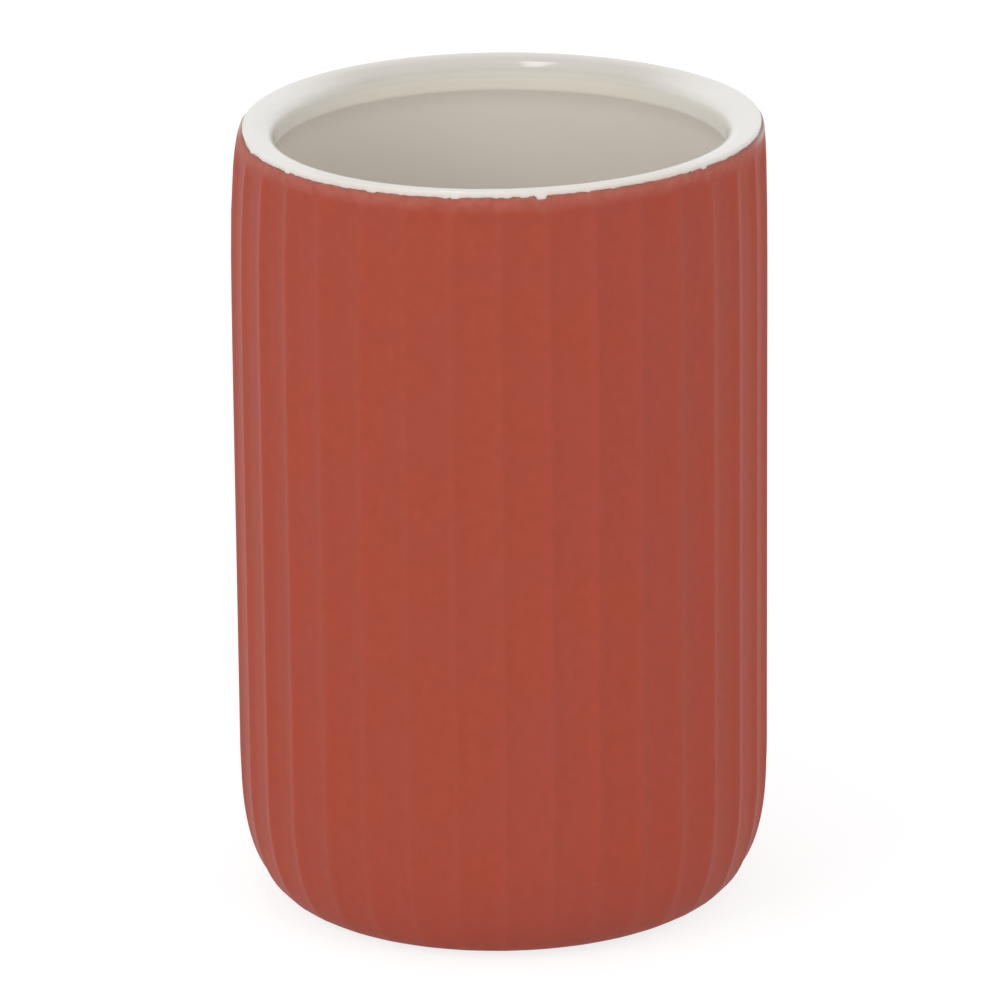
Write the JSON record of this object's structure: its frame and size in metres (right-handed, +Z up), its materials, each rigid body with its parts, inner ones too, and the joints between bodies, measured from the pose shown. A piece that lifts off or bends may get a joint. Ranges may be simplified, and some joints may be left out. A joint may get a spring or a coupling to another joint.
{
  "type": "toothbrush holder",
  "caption": "Straight round ceramic tumbler for toothbrushes, with a vertically fluted matt coral outside, a rounded base and a glossy white rim and inside.",
  "frame": {"origin": "centre of the underside of the foot ring, where the tumbler stands", "axes": "+Z up along the tumbler's axis, -Y towards the front, where one crest of the fluting lies, +X to the right seen from the front"},
  "size_m": [0.075, 0.0748, 0.1122],
  "materials": {
    "fired_clay": "bare, dry white fired clay, slightly rough",
    "coral_coat": "matt coral coat with a faint sheen, smooth, slightly mottled",
    "white_glaze": "glossy warm white glaze"
  },
  "bodies": {
    "root": {"ceramic_body": "fired_clay", "coral_coat": "coral_coat", "white_glaze": "white_glaze"}
  },
  "joints": []
}
